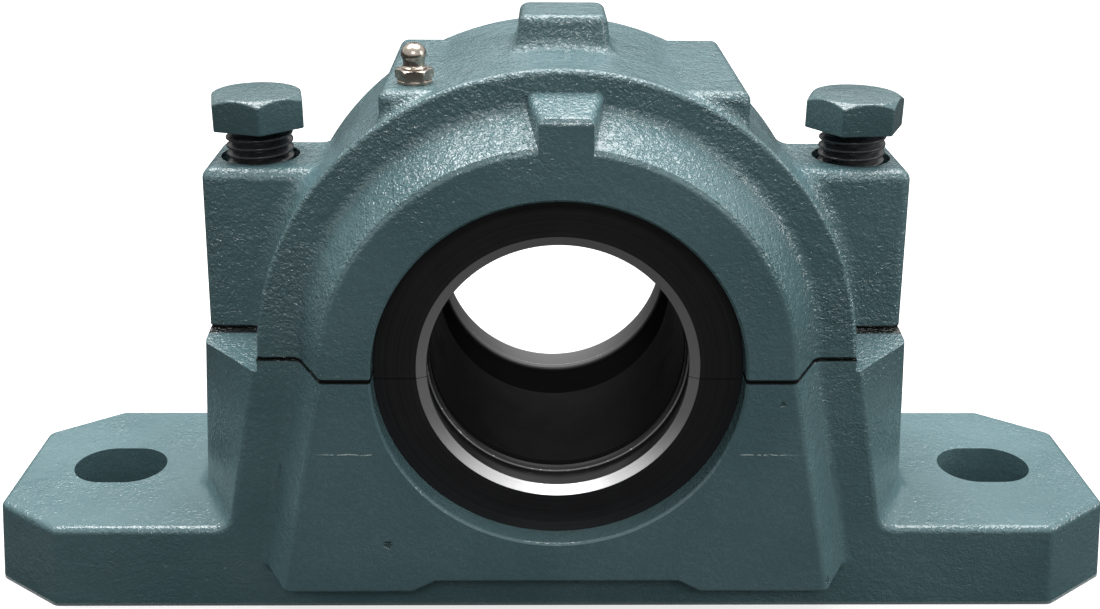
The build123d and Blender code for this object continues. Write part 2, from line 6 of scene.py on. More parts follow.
import bmesh
import bpy
import numpy as np
from bpy.props import FloatProperty, FloatVectorProperty, PointerProperty
from bpy.types import Operator, Panel, PropertyGroup
from mathutils import Matrix, Vector


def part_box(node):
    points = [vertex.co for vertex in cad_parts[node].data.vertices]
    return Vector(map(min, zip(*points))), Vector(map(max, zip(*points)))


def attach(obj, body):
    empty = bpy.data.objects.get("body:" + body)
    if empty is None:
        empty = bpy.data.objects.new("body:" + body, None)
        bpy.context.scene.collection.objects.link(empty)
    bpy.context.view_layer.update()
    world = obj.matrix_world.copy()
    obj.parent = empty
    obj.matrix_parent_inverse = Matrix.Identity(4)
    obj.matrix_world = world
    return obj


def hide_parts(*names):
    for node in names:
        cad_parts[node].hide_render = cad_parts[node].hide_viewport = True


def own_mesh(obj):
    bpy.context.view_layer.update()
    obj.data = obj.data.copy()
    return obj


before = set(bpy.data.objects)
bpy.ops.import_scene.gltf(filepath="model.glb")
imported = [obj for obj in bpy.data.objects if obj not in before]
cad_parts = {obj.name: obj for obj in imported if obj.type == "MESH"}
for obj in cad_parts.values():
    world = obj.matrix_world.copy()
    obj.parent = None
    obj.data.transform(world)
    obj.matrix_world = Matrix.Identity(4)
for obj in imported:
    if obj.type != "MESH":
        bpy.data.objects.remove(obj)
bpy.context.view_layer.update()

bl_info = {
    "name": "Plummer Block Looks",
    "version": (1, 0, 0),
    "blender": (4, 5, 0),
    "location": "3D View > Sidebar > Plummer Block",
    "description": "Paints the cast housing and builds its cap bolts, grease nipple and studio",
    "category": "Object",
}

MM = 0.001


def middle(node):
    """Middle of a node's box."""
    low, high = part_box(node)
    return (low + high) / 2


SHAFT_HEIGHT = middle("bearing_outer_ring").z
BOLT_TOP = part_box("cap_bolt_left")[1].z
BOLT_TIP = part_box("cap_bolt_left")[0].z
NIPPLE_PLACE = middle("nipple_body")
NIPPLE_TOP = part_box("nipple_body")[1].z
NIPPLE_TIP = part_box("nipple_body")[0].z


# ---------------------------------------------------------------- settings

def length(name, description, default, **more):
    """A length setting in metres."""
    return FloatProperty(name=name, description=description, default=default,
                         min=0.0, unit="LENGTH", precision=5, **more)


def colour(name, description, default):
    """A colour setting in linear red, green and blue."""
    return FloatVectorProperty(name=name, description=description, default=default,
                               subtype="COLOR", size=3, min=0.0, max=1.0)


def share(name, description, default, most=1.0):
    """A plain number setting."""
    return FloatProperty(name=name, description=description, default=default, min=0.0, max=most)


class PlummerPaint(PropertyGroup):
    """Finish of the painted castings."""
    body_colour: colour("Paint", "Colour of the enamel on the castings", (0.080, 0.139, 0.150))
    deep_colour: colour("Deep Paint", "Colour where the enamel lies thick", (0.061, 0.114, 0.124))
    gloss_roughness: share("Roughness", "Roughness of the enamel", 0.15)
    peel_size: length("Peel Size", "Width of one wrinkle of the orange peel", 0.0011)
    peel_depth: length("Peel Depth", "Depth of the orange peel", 0.00050)
    sand_size: length("Sand Size", "Width of the sand grain under the paint", 0.0036)
    sand_depth: length("Sand Depth", "Depth of the sand-cast waviness", 0.00050)
    smooth_height: length("Smooth Height", "Height below which the relief is faint", 0.030)
    rough_height: length("Rough Height", "Height above which the relief is full", 0.085)
    pit_size: length("Pit Spacing", "Spacing of the cells that may hold a blow hole", 0.013)
    pit_depth: length("Pit Depth", "Depth of the blow holes", 0.00035)
    seam_height: length("Seam Height", "Height of the mould seam across the lower hub", 0.0495)
    seam_rise: length("Seam Rise", "How far the mould seam stands up", 0.00012)
    seam_start: length("Seam Start", "Distance from the middle where the seam starts", 0.0420)
    seam_end: length("Seam End", "Distance from the middle where the seam fades out", 0.0535)
    seam_face: length("Seam Face", "Distance along the shaft past which the seam shows", 0.04415)
    joint_width: length("Joint Width", "Width of the dark line where cap and base meet", 0.0009)


class PlummerBolts(PropertyGroup):
    """Sizes of the two cap bolts."""
    flats: length("Across Flats", "Width across the flats of the head", 0.021)
    head_height: length("Head Height", "Height of the head", 0.0079)
    head_chamfer: length("Head Chamfer", "Height of the chamfer at the head's corners", 0.0012)
    head_round: length("Edge Round", "Round on the head's painted edges", 0.00035)
    thread_diameter: length("Thread", "Outside diameter of the thread", 0.016)
    thread_pitch: length("Pitch", "Rise of the thread in one turn", 0.002)
    turn_left: FloatProperty(name="Left Turn", description="Turn of the left head",
                             default=np.radians(-18.5), subtype="ANGLE")
    turn_right: FloatProperty(name="Right Turn", description="Turn of the right head",
                              default=np.radians(5.0), subtype="ANGLE")
    head_colour: colour("Head Paint", "Colour of the enamel on the heads", (0.055, 0.102, 0.109))
    thread_colour: colour("Thread", "Colour of the oiled black thread", (0.010, 0.011, 0.012))


class PlummerNipple(PropertyGroup):
    """Sizes of the grease nipple."""
    flats: length("Across Flats", "Width across the flats of the hexagon", 0.0076)
    flange: length("Flange", "Diameter of the round flange", 0.0079)
    groove: length("Groove", "Diameter of the groove over the flange", 0.0070)
    collar: length("Collar", "Diameter of the collar over the hexagon", 0.0056)
    neck: length("Neck", "Diameter of the neck", 0.0048)
    head: length("Head", "Diameter of the head", 0.00575)
    thread: length("Thread", "Diameter of the thread", 0.00596)
    thread_length: length("Thread Length", "Length of the thread below the flange", 0.006)
    bore: length("Bore", "Diameter of the bore for the spring", 0.0030)
    mouth: length("Mouth", "Diameter of the mouth", 0.0015)
    ball_travel: length("Ball Travel", "Way that the check ball can be pushed down", 0.0010)
    turn: FloatProperty(name="Turn", description="Turn of the hexagon", default=np.radians(4.0),
                        subtype="ANGLE")
    metal: colour("Plating", "Colour of the nickel plating", (0.47, 0.41, 0.35))


class PlummerInside(PropertyGroup):
    """Finishes of the seals, bearing and sleeve."""
    seal_colour: colour("Seal", "Colour of the seal rubber", (0.0065, 0.0065, 0.0072))
    # These four place the seal's painted highlights on the lip's chamfer and on its inner edge.
    chamfer_radius: length("Chamfer Radius", "Radius within which the lip's chamfer lies", 0.03241)
    chamfer_start: length("Chamfer Start", "Distance along the shaft to the chamfer", 0.03751)
    land_edge: length("Land Edge", "Distance along the shaft to the lip's inner edge", 0.029925)
    land_highlight_width: length("Land Width", "Width of the bright line on the lip's inner edge", 0.00025)
    oxide_colour: colour("Black Oxide", "Colour of the sleeve's oxide", (0.0045, 0.0045, 0.0048))
    steel_colour: colour("Steel", "Colour of bare steel", (0.45, 0.45, 0.44))
    bearing_colour: colour("Bearing Steel", "Colour of ground bearing steel", (0.60, 0.60, 0.59))
    cage_colour: colour("Cage", "Colour of the glass-filled cage", (0.16, 0.10, 0.045))


class PlummerStage(PropertyGroup):
    """Floor, lamps and camera."""
    focal_length: share("Focal Length", "Focal length on a 36 mm sensor, in mm", 44.55, 500.0)
    camera_place: FloatVectorProperty(name="Camera Place", description="Place of the lens",
                                      default=(-0.00644, -0.31992, 0.19993), subtype="TRANSLATION")
    camera_yaw: FloatProperty(name="Yaw", description="Turn of the view to the right",
                              default=np.radians(0.91), subtype="ANGLE")
    camera_pitch: FloatProperty(name="Pitch", description="Tilt of the view downwards",
                                default=np.radians(22.32), subtype="ANGLE")
    camera_roll: FloatProperty(name="Roll", description="Roll of the camera",
                               default=np.radians(0.43), subtype="ANGLE")
    floor_reach: length("Floor", "Half the width of the floor", 6.0)
    floor_pale: share("Floor Grey", "Grey of the floor where it is seen or mirrored", 0.45)
    floor_glow: share("Floor Glow", "Glow of the floor where it is seen or mirrored", 0.72)
    floor_dull: share("Floor Dull", "Grey of the floor for soft light", 0.30)
    cloth_height: length("Cloth Height", "Height of the flat cloth round the object", 0.0008)
    cloth_front: length("Cloth Front", "Height of the cloth's front rim", 0.19)
    cloth_back: length("Cloth Back", "Height of the cloth's back rim", 0.36)
    key_power: share("Key Lamp", "Power of the key softbox in watts", 6.5, 1000.0)
    top_power: share("Top Lamp", "Power of the overhead softbox in watts", 52.0, 1000.0)
    front_power: share("Front Lamp", "Power of the lamp over the camera in watts", 3.6, 1000.0)
    side_power: share("Side Lamp", "Power of the softbox on the right in watts", 4.5, 1000.0)
    ambient: share("Ambient", "Strength of the light from all round", 0.66)


# ---------------------------------------------------------------- meshes

def merge_doubles(mesh):
    """Joins points that lie in one place and takes out faces and edges without size."""
    work = bmesh.new()
    work.from_mesh(mesh)
    bmesh.ops.remove_doubles(work, verts=work.verts, dist=1e-7)
    bmesh.ops.dissolve_degenerate(work, edges=work.edges, dist=1e-8)
    work.to_mesh(mesh)
    work.free()


def new_piece(name, vertices, faces, materials, crease=35.0):
    """Mesh object from vertex and face arrays, its doubles merged and its sharp edges kept."""
    mesh = bpy.data.meshes.new(name)
    mesh.from_pydata(vertices.tolist(), [], faces)
    merge_doubles(mesh)
    mesh.polygons.foreach_set("use_smooth", np.ones(len(mesh.polygons), bool))
    mesh.set_sharp_from_angle(angle=np.radians(crease))
    for material in materials:
        mesh.materials.append(material)
    piece = bpy.data.objects.new(name, mesh)
    bpy.context.scene.collection.objects.link(piece)
    return piece


def round_grid(rows):
    """Closed surface from rows of points that go round an axis, each row above the last.

    A quad joins each point to its neighbour in the row and to the two above; the first and
    last rows may lie on the axis, where the merged doubles leave triangles.
    """
    count, around = rows.shape[:2]
    index = np.arange(count * around).reshape(count, around)
    ahead = np.roll(index, -1, axis=1)
    faces = np.stack([index[:-1], ahead[:-1], ahead[1:], index[1:]], axis=-1)
    return rows.reshape(-1, 3), faces.reshape(-1, 4).tolist()


def turn_points(radius, height, angle, place):
    """Points at a radius, height and angle round an upright axis through a place."""
    across = radius * np.cos(angle) + place[0]
    deep = radius * np.sin(angle) + place[1]
    return np.stack(np.broadcast_arrays(across, deep, height + place[2]), axis=-1)


def hexagon_radius(flats, angle, turn):
    """Radius of a hexagon: half its flats over the cosine of the angle from the flat's middle."""
    sixth = np.pi / 3
    from_middle = np.mod(angle - turn, sixth) - sixth / 2
    return flats / 2 / np.cos(from_middle)


def rounded_corners(points, reach, steps):
    """Rows of points with each inner corner drawn as a quadratic curve.

    The curve starts and ends at most reach from the corner and never past the middle of a side.
    """
    rows = [points[0]]
    for before, corner, after in zip(points[:-2], points[1:-1], points[2:]):
        sides = []
        for end in (before, after):
            way = end - corner
            size = np.linalg.norm(way, axis=-1, keepdims=True)
            sides.append(corner + way / np.maximum(size, 1e-9) * np.minimum(reach, size / 2))
        for t in np.linspace(0.0, 1.0, steps):
            rows.append((1 - t) ** 2 * sides[0] + 2 * t * (1 - t) * corner + t ** 2 * sides[1])
    rows.append(points[-1])
    return np.stack(rows)


def bolt_head(sizes, turn, place):
    """Hexagon head: its side meets a cone whose height falls evenly with the radius."""
    angle = np.linspace(0, 2 * np.pi, 240, endpoint=False)
    flat = sizes.flats / 2
    corner = flat / np.cos(np.pi / 6)
    hexagon = np.minimum(hexagon_radius(sizes.flats, angle, turn), corner * 0.991)
    slope = sizes.head_chamfer / (corner - flat)
    top_radius = flat * 0.965
    side_height = sizes.head_height - (hexagon - top_radius) * slope
    nothing = np.zeros_like(angle)

    def ring(radius, height):
        """Radius and height all the way round."""
        return np.stack(np.broadcast_arrays(radius, height + nothing), axis=-1)

    profile = [ring(nothing, 0.0), ring(hexagon, 0.0), ring(hexagon, side_height),
               ring(top_radius + nothing, sizes.head_height), ring(nothing, sizes.head_height)]
    rows = rounded_corners(profile, sizes.head_round, 5)
    return round_grid(turn_points(rows[..., 0], rows[..., 1], angle, place))


def bolt_thread(sizes, low, high, place):
    """Thread: a sixty-degree ridge whose height rises one pitch in each turn.

    Rows follow the helix. The height is held between the two ends, where a cone and a short
    undercut bring every row to one radius, so that the ends close flat.
    """
    pitch = sizes.thread_pitch
    crest = sizes.thread_diameter / 2
    root = crest - 0.6134 * pitch
    # Where the rows of one turn lie, as shares of the pitch, and how far up the ridge each is.
    phase = np.array([0.0, 0.10, 0.15, 0.20, 0.46, 0.54, 0.62, 0.88, 0.93, 0.98])
    level = np.array([1.0, 1.00, 0.97, 0.86, 0.12, 0.00, 0.12, 0.86, 0.97, 1.00])
    around = 96
    turns = int(np.ceil((high - low) / pitch)) + 2
    step = np.arange(turns * len(phase))
    lift = (step // len(phase) + phase[step % len(phase)])[:, None]
    ridge = level[step % len(phase)][:, None]
    angle = np.linspace(0, 2 * np.pi, around, endpoint=False)
    height = low - pitch + (lift + angle / (2 * np.pi)) * pitch
    held = np.clip(height, low, high)
    radius = root + (crest - root) * ridge * np.ones_like(held)
    end_radius = root - 0.2 * MM
    radius = np.minimum(radius, end_radius + (held - low) * 1.0)
    radius = np.minimum(radius, end_radius + (high - held) * 1.2)
    points = turn_points(radius, held, angle, place)
    count = len(step)
    index = np.arange(count * around).reshape(count, around)
    ahead = np.roll(index, -1, axis=1)
    whole = count - len(phase) - 1
    ahead[:whole + 1, -1] = index[len(phase):len(phase) + whole + 1, 0]
    faces = np.stack([index[:whole], ahead[:whole], ahead[1:whole + 1], index[1:whole + 1]], axis=-1)
    faces = faces.reshape(-1, 4).tolist()
    ends = turn_points(np.zeros(2), np.array([low, high]), np.zeros(2), place)
    vertices = np.concatenate([points.reshape(-1, 3), ends])
    bottom, top = len(vertices) - 2, len(vertices) - 1
    lower, upper = index[0], index[whole]
    faces += np.stack([np.roll(lower, -1), lower, np.full(around, bottom)], axis=-1).tolist()
    faces += np.stack([upper, np.roll(upper, -1), np.full(around, top)], axis=-1).tolist()
    return vertices, faces


def nipple_shell(sizes, low, high, place):
    """Nipple turned from one profile; over the hexagon the radius is the lesser of the
    hexagon's and a cone's, which leaves the chamfered corners.

    The waist narrows with the square of the way left to the neck, and the neck widens again
    with the square of the way to the head. The dome is part of a circle, stretched to height.
    """
    flat = sizes.flats / 2
    corner = flat / np.cos(np.pi / 6)
    angle = np.linspace(0, 2 * np.pi, 144, endpoint=False)
    hexagon = hexagon_radius(sizes.flats, angle, sizes.turn)
    hexagon = np.minimum(hexagon, corner * 0.985)
    bore, mouth, thread = sizes.bore / 2, sizes.mouth / 2, sizes.thread / 2
    flange, groove = sizes.flange / 2, sizes.groove / 2
    collar, neck, head = sizes.collar / 2, sizes.neck / 2, sizes.head / 2
    rim = 0.12 * MM
    collar_rim = collar - 0.1 * MM
    flange_top = 0.75 * MM
    hex_low, hex_high = 1.0 * MM, 3.2 * MM
    bevel = 0.35 * MM
    collar_top = hex_high + 0.28 * MM
    waist_low = hex_high + 0.36 * MM
    neck_low = hex_high + 0.8 * MM
    neck_high = neck_low + 0.6 * MM
    head_low = high - 2.85 * MM
    dome_low = high - 2.5 * MM
    bore_top = high - 1.2 * MM
    way = np.linspace(0.0, 1.0, 7)
    bevel_way = np.linspace(0.0, 1.0, 6)
    dome = np.radians(np.linspace(0.0, 75.0, 15))
    rows = [(bore, bore_top), (bore, low), (thread, low), (thread, 0.0)]
    rows += [(flange - rim, 0.0), (flange, rim), (flange, flange_top - rim), (flange - rim, flange_top)]
    rows += [(groove, flange_top), (groove, hex_low), (flat, hex_low)]
    rows += [(flat + (corner - flat) * t, hex_low + bevel * t) for t in bevel_way[1:]]
    rows += [(corner, hex_high - bevel)]
    rows += [(flat + (corner - flat) * t, hex_high - bevel * t) for t in bevel_way[::-1]]
    rows += [(collar, hex_high), (collar, collar_top), (collar_rim, waist_low)]
    rows += [(neck + (collar_rim - neck) * (1 - t) ** 2, waist_low + (neck_low - waist_low) * t)
             for t in way[1:]]
    rows += [(neck + (head - neck) * t ** 2, neck_high + (head_low - neck_high) * t) for t in way]
    rows += [(head * np.cos(a), dome_low + (high - dome_low) * np.sin(a) / np.sin(dome[-1]))
             for a in dome]
    rows += [(mouth + rim, high), (mouth, high - rim), (mouth, bore_top), rows[0]]
    profile = np.array(rows)
    height = profile[:, 1][:, None] * np.ones_like(angle)
    radius = profile[:, 0][:, None] * np.ones_like(angle)
    in_hexagon = (height > hex_low - 1e-9) & (height < hex_high + 1e-9) & (radius > flat - 1e-9)
    radius = np.where(in_hexagon, np.minimum(radius, hexagon), radius)
    return round_grid(turn_points(radius, height, angle, place))


# ---------------------------------------------------------------- nodes

def feed(tree, socket, value):
    """Links a socket to the input, or sets the input to a value."""
    if isinstance(value, bpy.types.NodeSocket):
        tree.links.new(value, socket)
    else:
        socket.default_value = value


def node(tree, kind, settings=None, **inputs):
    """New node with its settings and its inputs, named in lower case with underscores."""
    made = tree.nodes.new(kind)
    for key, value in (settings or {}).items():
        setattr(made, key, value)
    named = {socket.name.lower().replace(" ", "_"): socket for socket in reversed(made.inputs)
             if socket.enabled}
    for key, value in inputs.items():
        feed(tree, named[key], value)
    return made


def calc(tree, operation, first, second=0.0, third=0.0, clamp=False):
    """Result of a Math node."""
    made = tree.nodes.new("ShaderNodeMath")
    made.operation = operation
    made.use_clamp = clamp
    for socket, value in zip(made.inputs, (first, second, third)):
        feed(tree, socket, value)
    return made.outputs[0]


def fade(tree, value, low, high, to_low=0.0, to_high=1.0):
    """Value mapped smoothly from one range to another."""
    made = node(tree, "ShaderNodeMapRange", {"interpolation_type": "SMOOTHSTEP"}, value=value,
                from_min=low, from_max=high, to_min=to_low, to_max=to_high)
    return made.outputs[0]


def noise(tree, place, size, detail=2.0, distortion=0.0, roughness=0.5):
    """Noise whose lumps are about size metres wide; size may be a socket."""
    scale = calc(tree, "DIVIDE", 1.0, size)
    made = node(tree, "ShaderNodeTexNoise", None, vector=place, scale=scale, detail=detail,
                roughness=roughness, distortion=distortion)
    return made.outputs["Fac"]


def blend_colour(tree, factor, first, second):
    """Mix of two colours."""
    made = tree.nodes.new("ShaderNodeMix")
    made.data_type = "RGBA"
    for place, value in (("Factor", factor), (6, first), (7, second)):
        if isinstance(value, tuple) and len(value) == 3:
            value = (*value, 1.0)
        feed(tree, made.inputs[place], value)
    return made.outputs[2]


def axis_radius(tree, across, up):
    """Distance from the shaft axis: root of the sum of both squares."""
    squares = calc(tree, "ADD", calc(tree, "MULTIPLY", across, across), calc(tree, "MULTIPLY", up, up))
    return calc(tree, "SQRT", squares)


def beyond(tree, value, limit, soft):
    """Mask that is one past a limit, with a soft edge."""
    return fade(tree, value, limit - soft, limit + soft)


def short_of(tree, value, limit, soft):
    """Mask that is one short of a limit, with a soft edge."""
    return fade(tree, value, limit - soft, limit + soft, 1.0, 0.0)


def overlap(tree, *masks):
    """Product of masks: one where all of them are."""
    both = masks[0]
    for mask in masks[1:]:
        both = calc(tree, "MULTIPLY", both, mask)
    return both


def new_group(name, inputs, outputs):
    """Empty node group with float or vector inputs and float outputs."""
    group = bpy.data.node_groups.new(name, "ShaderNodeTree")
    for label, default in inputs.items():
        kind = "NodeSocketVector" if default is None else "NodeSocketFloat"
        socket = group.interface.new_socket(name=label, in_out="INPUT", socket_type=kind)
        if default is not None:
            socket.default_value = default
    for label in outputs:
        group.interface.new_socket(name=label, in_out="OUTPUT", socket_type="NodeSocketFloat")
    return group, group.nodes.new("NodeGroupInput").outputs, group.nodes.new("NodeGroupOutput").inputs


def enamel_group():
    """Thick enamel over a sand casting: peel, waviness, blow holes and patches of tone.

    Height is in metres: warped fine noise times the peel depth, plus coarse noise times the
    sand depth, less a round pit where a cell's own random number is high. The Pit output is
    that hole's mask, which the enamel uses for painted shade in the holes.
    """
    name = "Enamel Over Casting"
    if name in bpy.data.node_groups:
        return bpy.data.node_groups[name]
    wanted = {"Place": None, "Peel Size": 0.0013, "Peel Depth": 0.00005, "Sand Size": 0.004,
              "Sand Depth": 0.0001, "Pit Size": 0.012, "Pit Depth": 0.0003}
    group, inputs, outputs = new_group(name, wanted, ("Height", "Tone", "Pit", "Grain"))
    place = inputs["Place"]
    peel = noise(group, place, inputs["Peel Size"], 1.5, 1.1)
    ridges = calc(group, "ABSOLUTE", calc(group, "SUBTRACT", peel, 0.5))
    patches = noise(group, place, 0.021, 1.0)
    strength = fade(group, patches, 0.35, 0.65, 0.55, 1.25)
    peel_height = calc(group, "MULTIPLY", peel, inputs["Peel Depth"])
    peel_height = calc(group, "MULTIPLY", peel_height, strength)
    sand = noise(group, place, inputs["Sand Size"], 3.0, 0.3, 0.6)
    sand_height = calc(group, "MULTIPLY", sand, inputs["Sand Depth"])
    cells = node(group, "ShaderNodeTexVoronoi", {"feature": "F1"}, vector=place,
                 scale=calc(group, "DIVIDE", 1.0, inputs["Pit Size"]))
    chance = node(group, "ShaderNodeSeparateColor", None, color=cells.outputs["Color"]).outputs[0]
    chosen = fade(group, chance, 0.80, 0.82)
    width = fade(group, chance, 0.82, 1.0, 0.05, 0.12)
    ragged = calc(group, "MULTIPLY", calc(group, "SUBTRACT", peel, 0.5), 0.09)
    near = calc(group, "ADD", cells.outputs["Distance"], ragged)
    hole = calc(group, "SUBTRACT", 1.0, calc(group, "DIVIDE", near, width), clamp=True)
    pit = calc(group, "MULTIPLY", fade(group, hole, 0.0, 0.6), chosen)
    pit_height = calc(group, "MULTIPLY", pit, inputs["Pit Depth"])
    height = calc(group, "SUBTRACT", calc(group, "ADD", peel_height, sand_height), pit_height)
    feed(group, outputs["Height"], height)
    feed(group, outputs["Tone"], noise(group, place, 0.034, 2.0))
    feed(group, outputs["Pit"], pit)
    feed(group, outputs["Grain"], ridges)
    return group


def turning_group():
    """Marks left by a lathe: fine waves over the distance from the shaft axis and along it."""
    name = "Turning Marks"
    if name in bpy.data.node_groups:
        return bpy.data.node_groups[name]
    wanted = {"Place": None, "Axis Height": 0.068, "Feed": 0.0006, "Depth": 0.00001}
    group, inputs, outputs = new_group(name, wanted, ("Height", "Tone"))
    parts = node(group, "ShaderNodeSeparateXYZ", None, vector=inputs["Place"]).outputs
    up = calc(group, "SUBTRACT", parts[2], inputs["Axis Height"])
    radius = axis_radius(group, parts[0], up)
    line = calc(group, "ADD", radius, calc(group, "MULTIPLY", parts[1], 0.83))
    rings = node(group, "ShaderNodeCombineXYZ", None, x=calc(group, "DIVIDE", line, inputs["Feed"]))
    marks = node(group, "ShaderNodeTexNoise", None, vector=rings.outputs[0], scale=1.0, detail=2.0)
    feed(group, outputs["Height"], calc(group, "MULTIPLY", marks.outputs["Fac"], inputs["Depth"]))
    feed(group, outputs["Tone"], marks.outputs["Fac"])
    return group


def handling_group():
    """Faint smears and specks that metal and rubber pick up."""
    name = "Handling"
    if name in bpy.data.node_groups:
        return bpy.data.node_groups[name]
    group, inputs, outputs = new_group(name, {"Place": None, "Smear Size": 0.012, "Speck Size": 0.0011},
                                       ("Smear", "Speck"))
    smear = noise(group, inputs["Place"], inputs["Smear Size"], 3.0, 0.8)
    speck = noise(group, inputs["Place"], inputs["Speck Size"], 1.0)
    feed(group, outputs["Smear"], fade(group, smear, 0.35, 0.7))
    feed(group, outputs["Speck"], fade(group, speck, 0.62, 0.74))
    return group


def use_group(tree, group, **inputs):
    """Places a node group in a material with its own values."""
    made = tree.nodes.new("ShaderNodeGroup")
    made.node_tree = group
    named = {socket.name.lower().replace(" ", "_"): socket for socket in made.inputs}
    for key, value in inputs.items():
        feed(tree, named[key], value)
    return made.outputs


def new_material(name):
    """Empty material with its shader, and the place of each point on the piece."""
    material = bpy.data.materials.new(name)
    material.use_nodes = True
    tree = material.node_tree
    shader = tree.nodes["Principled BSDF"]
    place = tree.nodes.new("ShaderNodeTexCoord").outputs["Object"]
    return material, tree, shader, place


def finish_shader(tree, shader, height=None, **inputs):
    """Feeds the shader's inputs by name, with a bump from a height in metres."""
    named = {socket.name.lower().replace(" ", "_"): socket for socket in shader.inputs}
    if height is not None:
        bump = node(tree, "ShaderNodeBump", None, strength=1.0, distance=1.0, height=height)
        feed(tree, named["normal"], bump.outputs["Normal"])
    for key, value in inputs.items():
        if isinstance(value, tuple) and len(value) == 3:
            value = (*value, 1.0)
        feed(tree, named[key], value)


def mould_seam(tree, place, parts, paint):
    """Broken raised line where the mould parted, on both sides of the lower hub's face; the enamel also
    tints it with a painted highlight.
    """
    wander = calc(tree, "MULTIPLY", calc(tree, "SUBTRACT", noise(tree, place, 0.004, 1.0), 0.5), 0.0006)
    away = calc(tree, "SUBTRACT", parts[2], paint.seam_height)
    away = calc(tree, "ABSOLUTE", calc(tree, "ADD", away, wander))
    aside = calc(tree, "ABSOLUTE", parts[0])
    along = calc(tree, "ABSOLUTE", parts[1])
    return overlap(tree,
                   short_of(tree, away, 0.00019, 0.00009),
                   beyond(tree, aside, paint.seam_start, 0.0005),
                   short_of(tree, aside, paint.seam_end, 0.0035),
                   beyond(tree, along, paint.seam_face, 0.00015),
                   fade(tree, noise(tree, place, 0.0012, 1.0), 0.38, 0.56))


def enamel(name, paint, body, deep, peel_share, sand_share, pit_share, casting=False):
    """Glossy blue-grey enamel, its relief fainter on the foot and on the flat hub faces.

    The castings also carry a raised mould seam with a painted highlight along it, and a dark line where
    cap and base meet.
    """
    material, tree, shader, place = new_material(name)
    parts = node(tree, "ShaderNodeSeparateXYZ", None, vector=place).outputs
    relief = fade(tree, parts[2], paint.smooth_height, paint.rough_height, 0.5, 1.0)
    on_hub = fade(tree, calc(tree, "ABSOLUTE", parts[1]), 0.0435, 0.0442, 1.0, 0.45)
    relief = calc(tree, "MULTIPLY", relief, on_hub)
    peel_depth = calc(tree, "MULTIPLY", relief, paint.peel_depth * peel_share)
    sand_depth = calc(tree, "MULTIPLY", relief, paint.sand_depth * sand_share)
    skin = use_group(tree, enamel_group(), place=place, peel_size=paint.peel_size,
                     peel_depth=peel_depth, sand_size=paint.sand_size,
                     sand_depth=sand_depth, pit_size=paint.pit_size,
                     pit_depth=paint.pit_depth * pit_share)
    tint = blend_colour(tree, fade(tree, skin["Tone"], 0.30, 0.70), deep, body)
    in_grain = fade(tree, skin["Grain"], 0.0, 0.16, 0.35, 0.0)
    tint = blend_colour(tree, in_grain, tint, scaled(deep, 0.72))
    # Painted shade: the blow holes are darkened to a shaded copy of the deep paint.
    tint = blend_colour(tree, calc(tree, "MULTIPLY", skin["Pit"], 0.7), tint, scaled(deep, 0.35))
    height = skin["Height"]
    if casting:
        from_joint = calc(tree, "ABSOLUTE", calc(tree, "SUBTRACT", parts[2], SHAFT_HEIGHT))
        joint = fade(tree, from_joint, paint.joint_width * 0.5, paint.joint_width * 0.75, 1.0, 0.0)
        tint = blend_colour(tree, joint, tint, (0.004, 0.005, 0.005))
        seam = mould_seam(tree, place, parts, paint)
        # Painted highlight: the raised seam is tinted a lighter grey-green, as where its ridge catches
        # the light.
        tint = blend_colour(tree, calc(tree, "MULTIPLY", seam, 0.8), tint, (0.30, 0.38, 0.38))
        height = calc(tree, "ADD", height, calc(tree, "MULTIPLY", seam, paint.seam_rise))
    gloss = paint.gloss_roughness
    rough = fade(tree, skin["Tone"], 0.25, 0.75, gloss * 0.8, gloss * 1.25)
    finish_shader(tree, shader, height, base_color=tint, roughness=rough)
    return material


def turned_material(name, body, worn, metallic, roughness, feed_size, depth, **more):
    """Turned metal or moulded rubber with rings about the shaft, smears and specks."""
    material, tree, shader, place = new_material(name)
    marks = use_group(tree, turning_group(), place=place, axis_height=SHAFT_HEIGHT, feed=feed_size,
                      depth=depth)
    touch = use_group(tree, handling_group(), place=place)
    tint = blend_colour(tree, fade(tree, marks["Tone"], 0.35, 0.65), body, worn)
    tint = blend_colour(tree, calc(tree, "MULTIPLY", touch["Speck"], 0.25), tint, worn)
    rough = calc(tree, "ADD", fade(tree, marks["Tone"], 0.3, 0.7, roughness * 0.85, roughness * 1.15),
                 calc(tree, "MULTIPLY", touch["Smear"], 0.08))
    finish_shader(tree, shader, marks["Height"], base_color=tint, roughness=rough, metallic=metallic,
                  **more)
    return material


